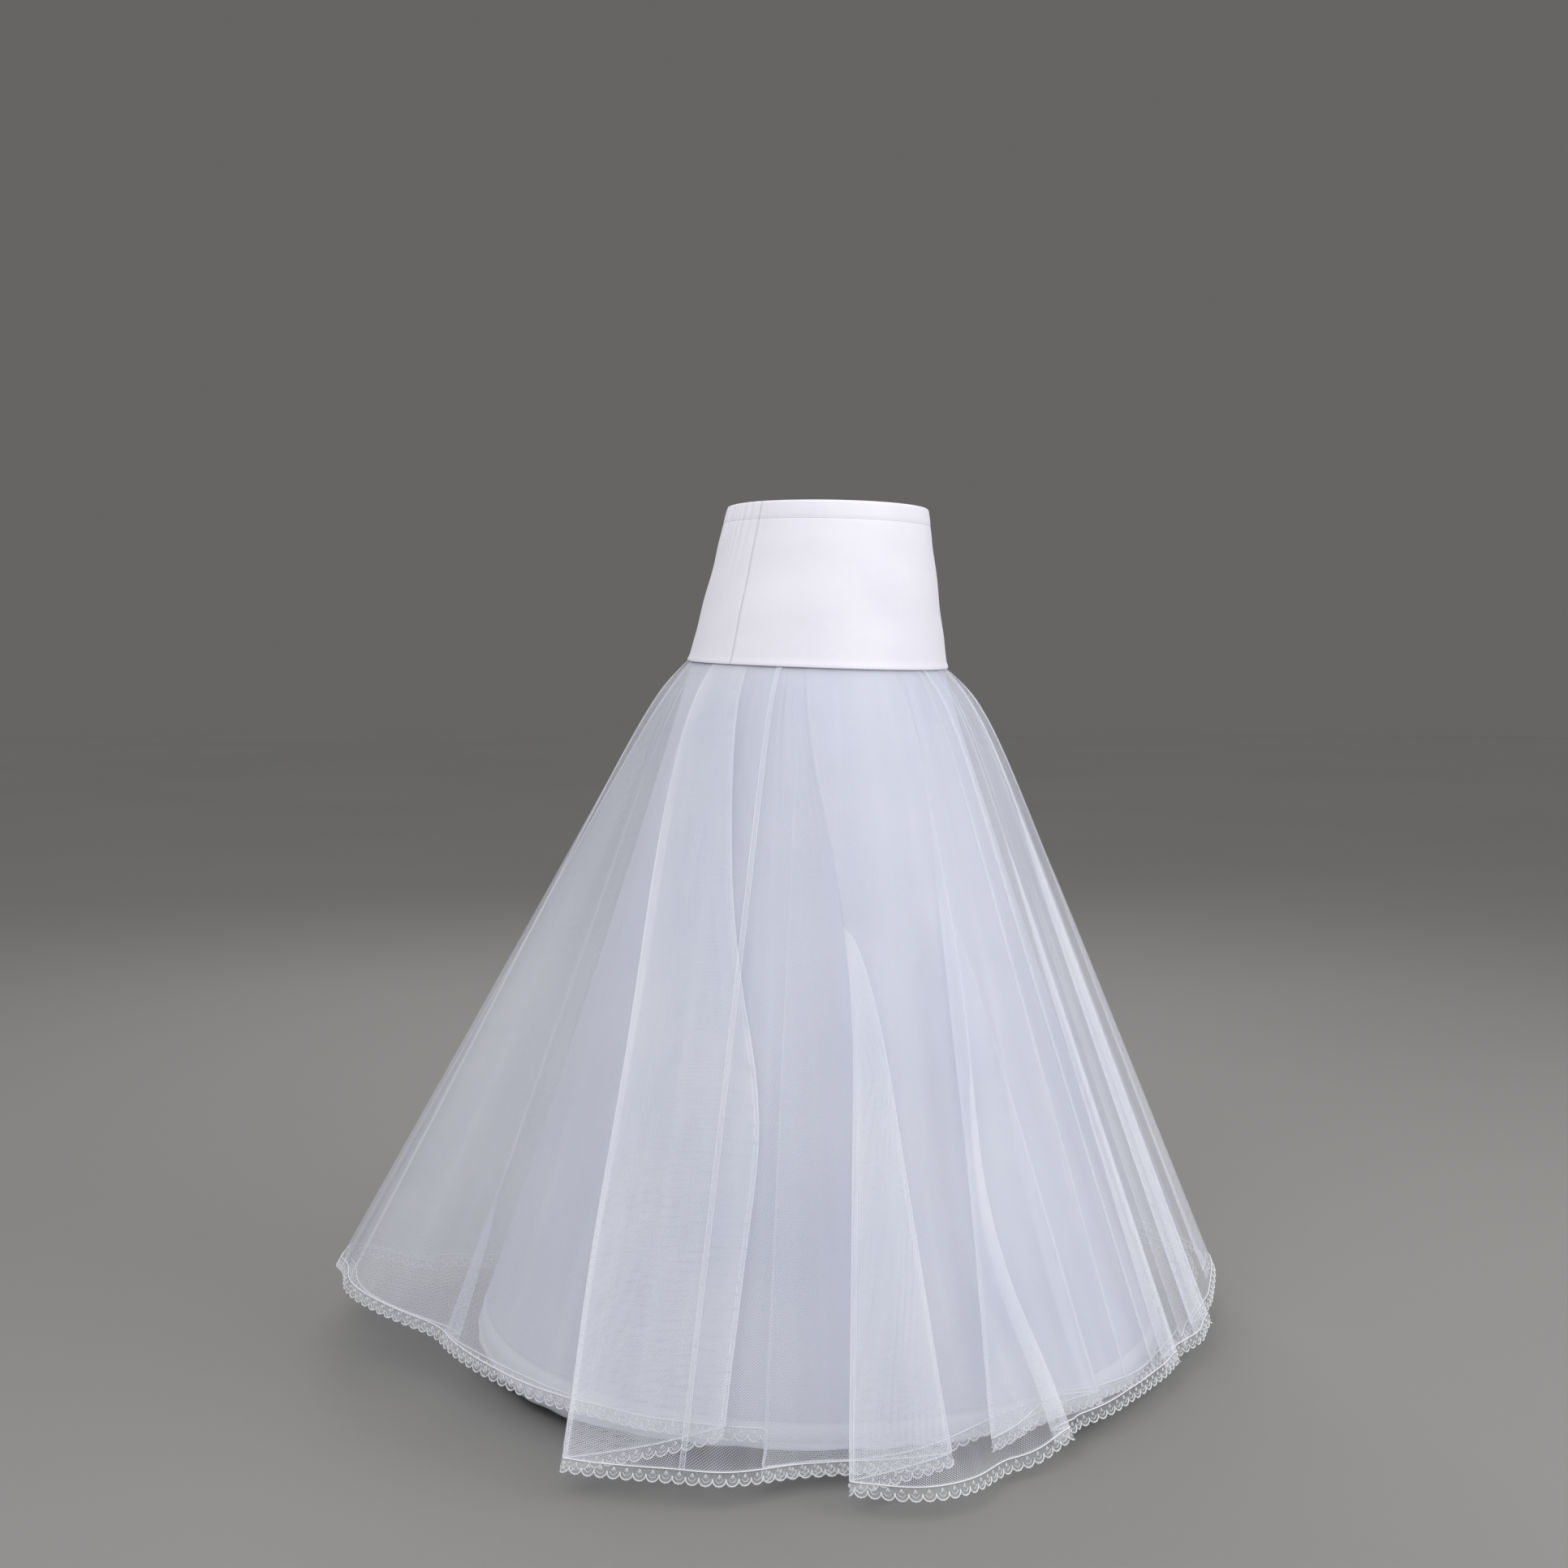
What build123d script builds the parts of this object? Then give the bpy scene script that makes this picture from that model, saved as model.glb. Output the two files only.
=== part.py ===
from build123d import *
import os
from math import cos, hypot, pi, radians, sin

# Hooped bridal petticoat as it is worn: a stretch yoke with an elastic waist, an A-line lining of
# six gores that ends in a hoop, and two fuller net skirts over it, each edged with lace.
# Millimetres, +Z up. The wearer's front faces -Y and the wearer's right side is towards -X.
# The origin is the centre of the waist opening, in the plane of its top edge.

# Waist, hip and yoke
waist_half_width = 115
waist_half_depth = 95
hip_half_width = 150
hip_half_depth = 125
hip_back_shift = 13
yoke_height = 159
yoke_front_drop = 6
yoke_cloth = 1.2

# Waist casing, turned in at the top of the yoke, and the elastic that runs in it
casing_height = 17
casing_stitch_height = 4
elastic_width = 10
elastic_thickness = 1.2
casing_clearance = 0.3

# Waist seam, where the three skirts are tucked up behind the lower edge of the yoke
seam_lap_height = 8
seam_clearance = 0.35

# Lining and its hoop
lining_cloth = 1
lining_drop = 681
hem_radius = 356
hem_band_height = 32
hem_slope_share = 0.32
serged_edge = 7
bone_width = 8
bone_thickness = 1
bone_end_gap = 2
sleeve_length = 36
sleeve_wall = 0.6
sleeve_fit = 0.1
tape_cloth = 0.7
tape_clearance = 0.3
tape_stitch_height = 3

# Net skirts and lace
net_cloth = 1
net_length = 738
net_flare_width = 186
shoulder_share = 0.12
shoulder_puff = 15
layer_gap = 12
lace_height = 12

# Folds of the net at its hem, in order round the wearer: the angle in degrees of each crest, valley and
# fold edge, how far the cloth stands out from the hoop there as a share of net_flare_width, and how long
# it hangs there as a share of net_length. At a fold edge the cloth steps out over the panel before it.
fold_angles = [
    8, 24, 26.5, 44, 62, 64.5, 84, 104, 112, 120, 138, 158, 183.5, 186, 201,
    215, 217.5, 228, 240, 251, 253.5, 266, 279, 291, 303, 315, 330, 346, 348.5,
]
flare_shares = [
    0.45, 0.2, 0.45, 0.5, 0.25, 0.5, 0.4, 0.2, 0.5, 1.0, 0.9, 0.45, 0.3, 0.55, 0.45,
    0.2, 0.4, 0.5, 0.25, 0.2, 0.15, 0.15, 0.15, 0.25, 0.4, 0.55, 0.45, 0.2, 0.4,
]
hang_shares = [
    0.96, 0.945, 0.965, 0.955, 0.94, 0.955, 0.95, 0.98, 0.99, 0.99, 0.96, 0.945, 0.94, 0.99, 0.98,
    0.97, 0.985, 0.995, 0.975, 0.955, 0.955, 0.95, 0.95, 0.955, 0.96, 0.95, 0.95, 0.945, 0.96,
]

# Gores of each skirt, in order round the wearer from the left side seam
gore_names = ["left_back", "back", "right_back", "right_front", "front", "left_front"]
facets_per_gore = 18
facets_round_yoke = 64

flatness_share = 1e-9
full_turn = 360
half_turn = 180
gore_angle = full_turn / len(gore_names)
lining_hem_z = -(yoke_height + lining_drop)
channel_depth = bone_thickness + 2 * (sleeve_wall + sleeve_fit + tape_clearance)
channel_height = bone_width + 2 * (sleeve_wall + sleeve_fit + tape_clearance)
tape_height = channel_height + 2 * tape_stitch_height


# Points around the wearer

def oval_radius(half_width, half_depth, angle):
    across = half_depth * cos(radians(angle))
    along = half_width * sin(radians(angle))
    return half_width * half_depth / hypot(across, along)


def place(angle, radius, height, back_shift=hip_back_shift):
    return Vector(radius * cos(radians(angle)), back_shift + radius * sin(radians(angle)), height)


def seam_height(angle):
    return -yoke_height + yoke_front_drop * sin(radians(angle))


def yoke_radius(angle, height_share):
    hip = oval_radius(hip_half_width, hip_half_depth, angle)
    waist = oval_radius(waist_half_width, waist_half_depth, angle)
    return hip + (waist - hip) * height_share


def yoke_point(angle, inset, height_share):
    """A point at a share of the way up from the hip seam to the waist, inset from the outer face."""
    fallen_share = 1 - height_share
    radius = yoke_radius(angle, height_share) - inset
    return place(angle, radius, seam_height(angle) * fallen_share, hip_back_shift * fallen_share)


def between_folds(angle, shares):
    """The share at an angle, eased from each crest or valley to the next."""
    count = len(fold_angles)
    for index in range(count):
        span = (fold_angles[(index + 1) % count] - fold_angles[index]) % full_turn
        along = (angle - fold_angles[index]) % full_turn
        if along < span:
            ease = (1 - cos(pi * along / span)) / 2
            return shares[index] + (shares[(index + 1) % count] - shares[index]) * ease


# Solids

def stands_higher(first, second):
    """Whether the first of two points is the higher one, or the outer one where they are level."""
    rise = first.Z - second.Z
    if abs(rise) > flatness_share * (first - second).length:
        return rise > 0
    return hypot(first.X, first.Y) > hypot(second.X, second.Y)


def flat_faces(first, second, third, fourth):
    """The facet between two neighbouring sections. One that isn't flat is folded from its higher corner."""
    normal = (second - first).cross(third - first)
    twist = abs(normal.dot(fourth - first))
    if twist < flatness_share * normal.length * (third - first).length:
        return [Face(Wire.make_polygon([first, second, third, fourth]))]
    if stands_higher(second, first):
        first, second, third, fourth = second, third, fourth, first
    halves = ([first, second, third], [first, third, fourth])
    return [Face(Wire.make_polygon(corners)) for corners in halves]


def sweep_section(section, angles, closed):
    """Carries a closed section of points round the wearer. An open run is capped at both ends."""
    rings = [section(angle) for angle in angles]
    faces = []
    if closed:
        rings.append(rings[0])
    else:
        faces += [Face(Wire.make_polygon(rings[0])), Face(Wire.make_polygon(rings[-1]))]
    for ring, following in zip(rings, rings[1:]):
        for index in range(len(ring)):
            after = (index + 1) % len(ring)
            faces += flat_faces(ring[index], ring[after], following[after], following[index])
    return Solid(Shell(faces))


def steps(start, span, count):
    return [start + span * index / count for index in range(count + 1)]


def whole_round(section, count):
    return sweep_section(section, steps(0, full_turn, count)[:-1], closed=True)


def each_gore(layer, section):
    """One solid for each gore of a skirt, which meets its neighbours at the seams."""
    starts = steps(0, full_turn, len(gore_names))
    return {
        layer + "_" + name: sweep_section(section, steps(start, gore_angle, facets_per_gore), closed=False)
        for name, start in zip(gore_names, starts)
    }


# Yoke and waist elastic

channel_inset = yoke_cloth + elastic_thickness + 2 * casing_clearance


def waist_share(depth):
    """The share of the way up the yoke that lies at a depth under the waist's top edge."""
    return 1 - depth / yoke_height


def yoke_section(angle):
    """The yoke's wall with its top turned in and down, leaving a channel for the elastic."""
    turned_inset = channel_inset + yoke_cloth
    slack = yoke_cloth + casing_clearance
    outline = [
        (0, 0),
        (0, 1),
        (turned_inset, 1),
        (turned_inset, waist_share(casing_height - casing_stitch_height)),
        (slack + yoke_cloth, waist_share(casing_height)),
        (slack, waist_share(casing_height)),
        (channel_inset, waist_share(casing_height - casing_stitch_height)),
        (channel_inset, waist_share(yoke_cloth)),
        (yoke_cloth, waist_share(yoke_cloth)),
        (yoke_cloth, 0),
    ]
    return [yoke_point(angle, inset, share) for inset, share in outline]


def elastic_section(angle):
    near = yoke_cloth + casing_clearance
    far = near + elastic_thickness
    top = waist_share(yoke_cloth + casing_clearance)
    bottom = waist_share(yoke_cloth + casing_clearance + elastic_width)
    corners = [(near, top), (far, top), (far, bottom), (near, bottom)]
    return [yoke_point(angle, inset, share) for inset, share in corners]


def yoke_panel(start):
    return sweep_section(yoke_section, steps(start, half_turn, facets_round_yoke // 2), closed=False)


# Skirts, from the seam downwards. Each starts in the stack behind the yoke's lower edge.

outer_net_inset = yoke_cloth + seam_clearance
inner_net_inset = outer_net_inset + net_cloth + seam_clearance
lining_inset = inner_net_inset + net_cloth + seam_clearance


def lap_points(angle, inset):
    """The tucked top edge of a skirt, clear of the leaning yoke, and its point at the yoke's lower edge."""
    lap_share = seam_lap_height / yoke_height
    tucked = yoke_radius(angle, lap_share) - inset - hip_back_shift * lap_share
    return [
        place(angle, tucked, seam_height(angle) + seam_lap_height),
        place(angle, seam_radius(angle, inset), seam_height(angle)),
    ]


def seam_radius(angle, inset):
    return oval_radius(hip_half_width, hip_half_depth, angle) - inset


def net_hem(angle, inset, gap, beyond):
    """A point on the net's lower edge, or beyond it along the same straight fall of the cloth.

    The cloth falls towards a point that stands clear of the hoop, at the level of the lining's hem."""
    start = seam_radius(angle, inset)
    flare = net_flare_width * between_folds(angle, flare_shares) - gap - (inset - outer_net_inset)
    spread = hem_radius + flare - start
    drop = seam_height(angle) - lining_hem_z
    fallen_share = (net_length * between_folds(angle, hang_shares) + beyond) / hypot(spread, drop)
    return place(angle, start + spread * fallen_share, seam_height(angle) - drop * fallen_share)


def net_shoulder(angle, inset, gap):
    """The point where the gathers have puffed out and the cloth begins its straight fall."""
    top = place(angle, seam_radius(angle, inset), seam_height(angle))
    puff = shoulder_puff - gap * shoulder_share
    out = Vector(cos(radians(angle)), sin(radians(angle)), 0) * puff
    return top + (net_hem(angle, inset, gap, 0) - top) * shoulder_share + out


def net_face(angle, inset, gap):
    return lap_points(angle, inset) + [net_shoulder(angle, inset, gap), net_hem(angle, inset, gap, 0)]


def net_section(inset, gap):
    def section(angle):
        return net_face(angle, inset, gap) + net_face(angle, inset + net_cloth, gap)[::-1]
    return section


def lace_section(inset, gap):
    def section(angle):
        outer = [net_hem(angle, inset, gap, beyond) for beyond in (0, lace_height)]
        inner = [net_hem(angle, inset + net_cloth, gap, beyond) for beyond in (lace_height, 0)]
        return outer + inner
    return section


# Lining, hoop channel and hoop

def band_radius(inset, height):
    """Radius in the lining's hem band, at a height over its lower edge."""
    return hem_radius - inset - hem_slope_share * height


def band_point(angle, inset, height):
    return place(angle, band_radius(inset, height), lining_hem_z + height)


def lining_face(angle, inset):
    return lap_points(angle, lining_inset + inset) + [
        band_point(angle, inset, hem_band_height),
        band_point(angle, inset, 0),
    ]


def lining_section(angle):
    return lining_face(angle, 0) + lining_face(angle, lining_cloth)[::-1]


def tape_section(angle):
    """A tape sewn inside the hem band along both its edges, bowed in over the hoop."""
    def side(cloth):
        bowed = lining_cloth + channel_depth + cloth
        return [
            (lining_cloth + cloth, serged_edge),
            (bowed, serged_edge + tape_stitch_height),
            (bowed, serged_edge + tape_stitch_height + channel_height),
            (lining_cloth + cloth, serged_edge + tape_height),
        ]
    return [band_point(angle, inset, height) for inset, height in side(0) + side(tape_cloth)[::-1]]


hoop_axis = Axis((0, hip_back_shift, 0), (0, 0, 1))
hoop_inset = lining_cloth + channel_depth / 2
hoop_height = serged_edge + tape_height / 2


def strip_face(width, thickness):
    """A strip's section in the plane of the wearer's back seam, lying in the slope of the hem band."""
    corners = [
        (hoop_inset - thickness / 2, hoop_height + width / 2),
        (hoop_inset + thickness / 2, hoop_height + width / 2),
        (hoop_inset + thickness / 2, hoop_height - width / 2),
        (hoop_inset - thickness / 2, hoop_height - width / 2),
    ]
    quarter_turn = half_turn / 2
    return Face(Wire.make_polygon([band_point(quarter_turn, *corner) for corner in corners]))


def hoop_strip(width, thickness, start, span):
    strip = revolve(strip_face(width, thickness), hoop_axis, span)
    return strip.rotate(hoop_axis, start)


def arc_degrees(length):
    return full_turn * length / (2 * pi * band_radius(hoop_inset, hoop_height))


def hoop_bone():
    """One flat spring strip, whose two ends nearly meet at the centre back."""
    gap = arc_degrees(bone_end_gap)
    return hoop_strip(bone_width, bone_thickness, gap / 2, full_turn - gap)


def hoop_sleeve():
    """A flat tube pushed over both ends of the strip."""
    span = arc_degrees(sleeve_length)
    bore = [size + 2 * sleeve_fit for size in (bone_width, bone_thickness)]
    tube = [size + 2 * sleeve_wall for size in bore]
    return hoop_strip(*tube, -span / 2, span) - hoop_strip(*bore, -span, 2 * span)


facets_round = facets_per_gore * len(gore_names)
pieces = {
    "yoke_front": yoke_panel(half_turn),
    "yoke_back": yoke_panel(0),
    "waist_elastic": whole_round(elastic_section, facets_round_yoke),
    **each_gore("lining", lining_section),
    "hoop_channel": whole_round(tape_section, facets_round),
    "hoop_bone": hoop_bone(),
    "hoop_sleeve": hoop_sleeve(),
    **each_gore("inner_net", net_section(inner_net_inset, layer_gap)),
    **each_gore("outer_net", net_section(outer_net_inset, 0)),
    "inner_lace": whole_round(lace_section(inner_net_inset, layer_gap), facets_round),
    "outer_lace": whole_round(lace_section(outer_net_inset, 0), facets_round),
}

os.makedirs("parts", exist_ok=True)
for name, piece in pieces.items():
    piece.label = name
    export_step(piece, os.path.join("parts", name + ".step"))
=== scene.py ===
from math import atan, cos, pi, radians, sin

import bpy
import numpy as np
from mathutils import Matrix, Vector


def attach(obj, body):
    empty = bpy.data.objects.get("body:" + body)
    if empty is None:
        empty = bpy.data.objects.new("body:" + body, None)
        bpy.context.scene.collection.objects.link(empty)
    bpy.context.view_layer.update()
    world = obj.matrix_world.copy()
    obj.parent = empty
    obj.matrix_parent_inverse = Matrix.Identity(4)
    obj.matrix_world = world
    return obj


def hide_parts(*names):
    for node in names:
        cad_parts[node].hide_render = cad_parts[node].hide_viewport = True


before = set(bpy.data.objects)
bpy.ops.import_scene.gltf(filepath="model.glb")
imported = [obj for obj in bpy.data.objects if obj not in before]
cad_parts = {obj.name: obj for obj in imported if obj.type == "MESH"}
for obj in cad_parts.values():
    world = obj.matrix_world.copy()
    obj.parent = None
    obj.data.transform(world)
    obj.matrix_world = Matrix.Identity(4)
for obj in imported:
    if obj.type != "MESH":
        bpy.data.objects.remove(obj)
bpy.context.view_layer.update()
fullTurn = 360.0

# The pattern that all pieces are cut to: metres and degrees, wearer's front at -Y
cut = {
    "waist": (0.115, 0.095),
    "hip": (0.150, 0.125),
    "backShift": 0.013,
    "yokeHeight": 0.159,
    "frontDrop": 0.006,
    "seamLap": 0.008,
    "hemRadius": 0.356,
    "liningHem": -0.840,
    "bandHeight": 0.032,
    "bandSlope": 0.32,
    "liningInset": 0.00425,
    "netLength": 0.738,
    "netFlare": 0.186,
    "netPuff": 0.015,
    "sidePuff": (308, 24, 0.009),  # the left front stands out a little more under the yoke
    "puffRise": 0.055,
    "puffPeak": 0.88,
    "gapPuff": 0.12,
    "hemReach": 0.43,  # from the middle to a net's hem, about
    "hem": [  # angle, and the shares of netFlare and netLength that the nets have there
        (8, 0.45, 0.96), (24, 0.2, 0.945), (26.5, 0.45, 0.965), (44, 0.5, 0.955), (62, 0.25, 0.94),
        (64.5, 0.5, 0.955), (84, 0.4, 0.95), (104, 0.2, 0.99), (112, 0.5, 1.005), (120, 1.0, 1.012),
        (138, 0.9, 0.958), (158, 0.45, 0.93), (183.5, 0.3, 0.935), (186, 0.55, 0.99), (201, 0.45, 0.98),
        (215, 0.2, 0.97), (217.5, 0.4, 0.985), (228, 0.5, 0.995), (240, 0.25, 0.984), (251, 0.2, 0.965),
        (253.5, 0.15, 0.963), (266, 0.15, 0.958), (279, 0.15, 0.957), (291, 0.23, 0.96), (303, 0.34, 0.96),
        (315, 0.47, 0.95), (330, 0.42, 0.95), (346, 0.2, 0.945), (348.5, 0.4, 0.96),
    ],
}
hemAngles, hemFlares, hemHangs = (np.array(values, float) for values in zip(*cut["hem"]))


def ovalRadius(half, angle):
    turn = np.radians(angle)
    return half[0] * half[1] / np.hypot(half[1] * np.cos(turn), half[0] * np.sin(turn))


def seamHeight(angle):
    return -cut["yokeHeight"] + cut["frontDrop"] * np.sin(np.radians(angle))


def place(angle, radius, height, shift=cut["backShift"]):
    turn = np.radians(angle)
    parts = np.broadcast_arrays(radius * np.cos(turn), shift + radius * np.sin(turn), height)
    return np.stack(parts, axis=-1)


def betweenFolds(angle, shares):
    spots = np.append(hemAngles, hemAngles[0] + fullTurn)
    values = np.append(shares, shares[0])
    turned = (angle - spots[0]) % fullTurn + spots[0]
    index = np.clip(np.searchsorted(spots, turned, side="right") - 1, 0, len(hemAngles) - 1)
    along = (turned - spots[index]) / (spots[index + 1] - spots[index])
    return values[index] + (values[index + 1] - values[index]) * (1 - np.cos(pi * along)) / 2


def bell(distance, width):
    return np.exp(-(distance / width) ** 2)


def apart(angle, other):
    return (angle - other + 180) % fullTurn - 180


def easeIn(value):
    held = np.clip(value, 0, 1)
    return held * held * (3 - 2 * held)


def waves(place01, counts, seed):
    # a few seeded waves that close on themselves round the skirt, within -1 to 1
    draw = np.random.default_rng(seed)
    total = np.zeros_like(place01)
    sizes = draw.uniform(0.5, 1.0, len(counts))
    for count, size, phase in zip(counts, sizes, draw.uniform(0, 1, len(counts))):
        total += size * np.sin(2 * pi * (count * place01 + phase))
    return total / sizes.sum()


# Meshes

def deselectAll():
    bpy.ops.object.select_all(action="DESELECT")


def activate(piece):
    deselectAll()
    piece.select_set(True)
    bpy.context.view_layer.objects.active = piece


def makePiece(name, points, faces, uvs=None, marks=None):
    mesh = bpy.data.meshes.new(name)
    mesh.from_pydata(np.asarray(points).tolist(), [], faces)
    if uvs is not None:
        layer = mesh.uv_layers.new(name="cloth")
        layer.data.foreach_set("uv", np.asarray(uvs, np.float32).ravel())
    for markName, values in (marks or {}).items():
        mark = mesh.attributes.new(markName, "FLOAT", "POINT")
        mark.data.foreach_set("value", np.asarray(values, np.float32).ravel())
    piece = bpy.data.objects.new(name, mesh)
    bpy.context.scene.collection.objects.link(piece)
    activate(piece)
    bpy.ops.object.shade_smooth()
    return piece


def gridFaces(rows, columns, closed):
    # rows run down and columns run round, so these faces look outwards
    across = columns if closed else columns - 1
    row, column = np.meshgrid(np.arange(rows - 1), np.arange(across), indexing="ij")
    after = (column + 1) % columns
    upper, lower = row * columns, (row + 1) * columns
    corners = [upper + column, lower + column, lower + after, upper + after]
    return np.stack(corners, axis=-1).reshape(-1, 4).tolist()


def lengthsAlong(points, axis):
    steps = np.linalg.norm(np.diff(points, axis=axis), axis=-1)
    start = np.zeros_like(np.take(steps, [0], axis=axis))
    return np.concatenate([start, np.cumsum(steps, axis=axis)], axis=axis)


def gridUv(left, right, down):
    # lengths across the cloth at the left and right of each face, and down it at each grid point
    corners = [(left[:-1], down[:-1, :-1]), (left[1:], down[1:, :-1]),
               (right[1:], down[1:, 1:]), (right[:-1], down[:-1, 1:])]
    return np.stack([np.stack(corner, axis=-1) for corner in corners], axis=2).reshape(-1, 2)


def stripUv(grid):
    across = lengthsAlong(grid, 1)
    return gridUv(across[:, :-1], across[:, 1:], lengthsAlong(grid, 0))


def panelUv(grid, seams):
    # lengths along the cloth from the middle of each panel, so that the pattern breaks only at a seam
    count = grid.shape[1]
    closed = np.concatenate([grid, grid[:, :1]], axis=1)
    across = lengthsAlong(closed, 1)
    edges = sorted(seams)
    panel = np.searchsorted(edges, np.arange(count), side="right") - 1
    starts = np.array(edges)[panel]
    ends = np.array(edges + [edges[0] + count])[panel + 1]
    middle = (across[:, np.minimum(starts, count)] + across[:, np.minimum(ends, count)]) / 2
    return gridUv(across[:, :-1] - middle, across[:, 1:] - middle, lengthsAlong(closed, 0))


def ringPiece(name, rows, seams, marks=None):
    # a ring of cloth from rows of points, sewn at these columns
    return makePiece(name, rows.reshape(-1, 3), gridFaces(*rows.shape[:2], True), panelUv(rows, seams), marks)


def closeRow(row):
    return np.concatenate([row, row[:1]])


def alongRow(row, lengths, spots):
    return np.stack([np.interp(spots % lengths[-1], lengths, row[:, axis]) for axis in range(3)], axis=-1)


def unit(vectors):
    return vectors / (np.linalg.norm(vectors, axis=-1, keepdims=True) + 1e-12)


def thicken(piece, thickness):
    activate(piece)
    wall = piece.modifiers.new("wall", "SOLIDIFY")
    wall.thickness = thickness
    wall.offset = -1
    wall.use_even_offset = False
    bpy.ops.object.modifier_apply(modifier=wall.name)


def sewOn(piece, material, slotName, *nodes):
    piece.data.materials.append(material)
    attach(piece, "root")
    if nodes:
        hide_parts(*nodes)


def threadTubes(paths, radius, sides=3):
    # thin threads along open lines of points, all lines with as many points
    paths = np.asarray(paths, float)
    along = unit(np.gradient(paths, axis=1))
    side = unit(np.cross(along, np.array([0.31, 0.17, 0.93])))  # a slanting way that no thread runs in
    up = np.cross(side, along)
    count, steps = paths.shape[:2]
    turn = 2 * pi * np.arange(sides) / sides
    ring = side[:, :, None] * np.cos(turn)[:, None] + up[:, :, None] * np.sin(turn)[:, None]
    points = (paths[:, :, None] + radius * ring).reshape(-1, 3)
    line, step, corner = np.meshgrid(np.arange(count), np.arange(steps - 1), np.arange(sides), indexing="ij")
    first = (line * steps + step) * sides
    turned = (corner + 1) % sides
    after = first + sides
    faces = np.stack([first + corner, first + turned, after + turned, after + corner], axis=-1)
    return points, faces.reshape(-1, 4).tolist()


def joinMeshes(meshes):
    allPoints, allFaces, shift = [], [], 0
    for points, faces in meshes:
        allPoints.append(points)
        allFaces += [[vertex + shift for vertex in face] for face in faces]
        shift += len(points)
    return np.concatenate(allPoints), allFaces


# Materials: shared effects are node groups, and each cloth has its own shader

def newGroup(name, inputs, outputs):
    group = bpy.data.node_groups.new(name, "ShaderNodeTree")
    for socketName, kind, value in inputs:
        socket = group.interface.new_socket(socketName, in_out="INPUT", socket_type=kind)
        if value is not None:
            socket.default_value = value
    for socketName, kind in outputs:
        group.interface.new_socket(socketName, in_out="OUTPUT", socket_type=kind)
    return group, group.nodes.new("NodeGroupInput"), group.nodes.new("NodeGroupOutput")


def mathNode(tree, operation, first, second=None, third=None, clamp=False):
    node = tree.nodes.new("ShaderNodeMath")
    node.operation = operation
    node.use_clamp = clamp
    for index, value in enumerate((first, second, third)):
        if value is None:
            continue
        if isinstance(value, (int, float)):
            node.inputs[index].default_value = value
        else:
            tree.links.new(value, node.inputs[index])
    return node.outputs[0]


def rangeNode(tree, value, low, high, toLow=0.0, toHigh=1.0):
    node = tree.nodes.new("ShaderNodeMapRange")
    node.interpolation_type = "SMOOTHSTEP"
    tree.links.new(value, node.inputs["Value"])
    for name, number in (("From Min", low), ("From Max", high), ("To Min", toLow), ("To Max", toHigh)):
        if isinstance(number, (int, float)):
            node.inputs[name].default_value = number
        else:
            tree.links.new(number, node.inputs[name])
    return node.outputs["Result"]


def buildNetGroup():
    # honeycomb of threads: three waves at 60 degrees sum to a peak in the middle of each hole
    group, start, end = newGroup(
        "netThreads",
        [
            ("Vector", "NodeSocketVector", None),
            ("Pitch", "NodeSocketFloat", 0.0019),
            ("Hole", "NodeSocketFloat", -0.35),
        ],
        [("Thread", "NodeSocketFloat"), ("Height", "NodeSocketFloat")],
    )
    wave = mathNode(group, "DIVIDE", 4 * pi / 3 ** 0.5, start.outputs["Pitch"])
    total = None
    for turn in (0, 60, 120):
        dot = group.nodes.new("ShaderNodeVectorMath")
        dot.operation = "DOT_PRODUCT"
        group.links.new(start.outputs["Vector"], dot.inputs[0])
        dot.inputs[1].default_value = (cos(radians(turn)), sin(radians(turn)), 0)
        peak = mathNode(group, "COSINE", mathNode(group, "MULTIPLY", dot.outputs["Value"], wave))
        total = peak if total is None else mathNode(group, "ADD", total, peak)
    lowest = mathNode(group, "SUBTRACT", start.outputs["Hole"], 0.4)
    thread = rangeNode(group, total, lowest, start.outputs["Hole"], 1.0, 0.0)
    group.links.new(thread, end.inputs["Thread"])
    group.links.new(mathNode(group, "MULTIPLY", thread, 0.0003), end.inputs["Height"])
    return group


def buildWeaveGroup():
    # over and under threads of a plain weave, with a little slub
    group, start, end = newGroup(
        "clothWeave",
        [("Vector", "NodeSocketVector", None), ("Threads", "NodeSocketFloat", 2600.0)],
        [("Height", "NodeSocketFloat"), ("Tone", "NodeSocketFloat")],
    )
    split = group.nodes.new("ShaderNodeSeparateXYZ")
    group.links.new(start.outputs["Vector"], split.inputs[0])
    lines = []
    for axis in ("X", "Y"):
        phase = mathNode(group, "MULTIPLY", split.outputs[axis], start.outputs["Threads"])
        lines.append(mathNode(group, "SINE", phase))
    weave = mathNode(group, "MULTIPLY", lines[0], lines[1])
    slub = group.nodes.new("ShaderNodeTexNoise")
    slub.inputs["Scale"].default_value = 160.0
    slub.inputs["Detail"].default_value = 3.0
    group.links.new(start.outputs["Vector"], slub.inputs["Vector"])
    slubHeight = mathNode(group, "MULTIPLY", slub.outputs[0], 0.0002)
    height = mathNode(group, "MULTIPLY_ADD", weave, 0.00008, slubHeight)
    group.links.new(height, end.inputs["Height"])
    tone = mathNode(group, "MULTIPLY_ADD", weave, 0.12, slub.outputs[0])
    group.links.new(tone, end.inputs["Tone"])
    return group


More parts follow.
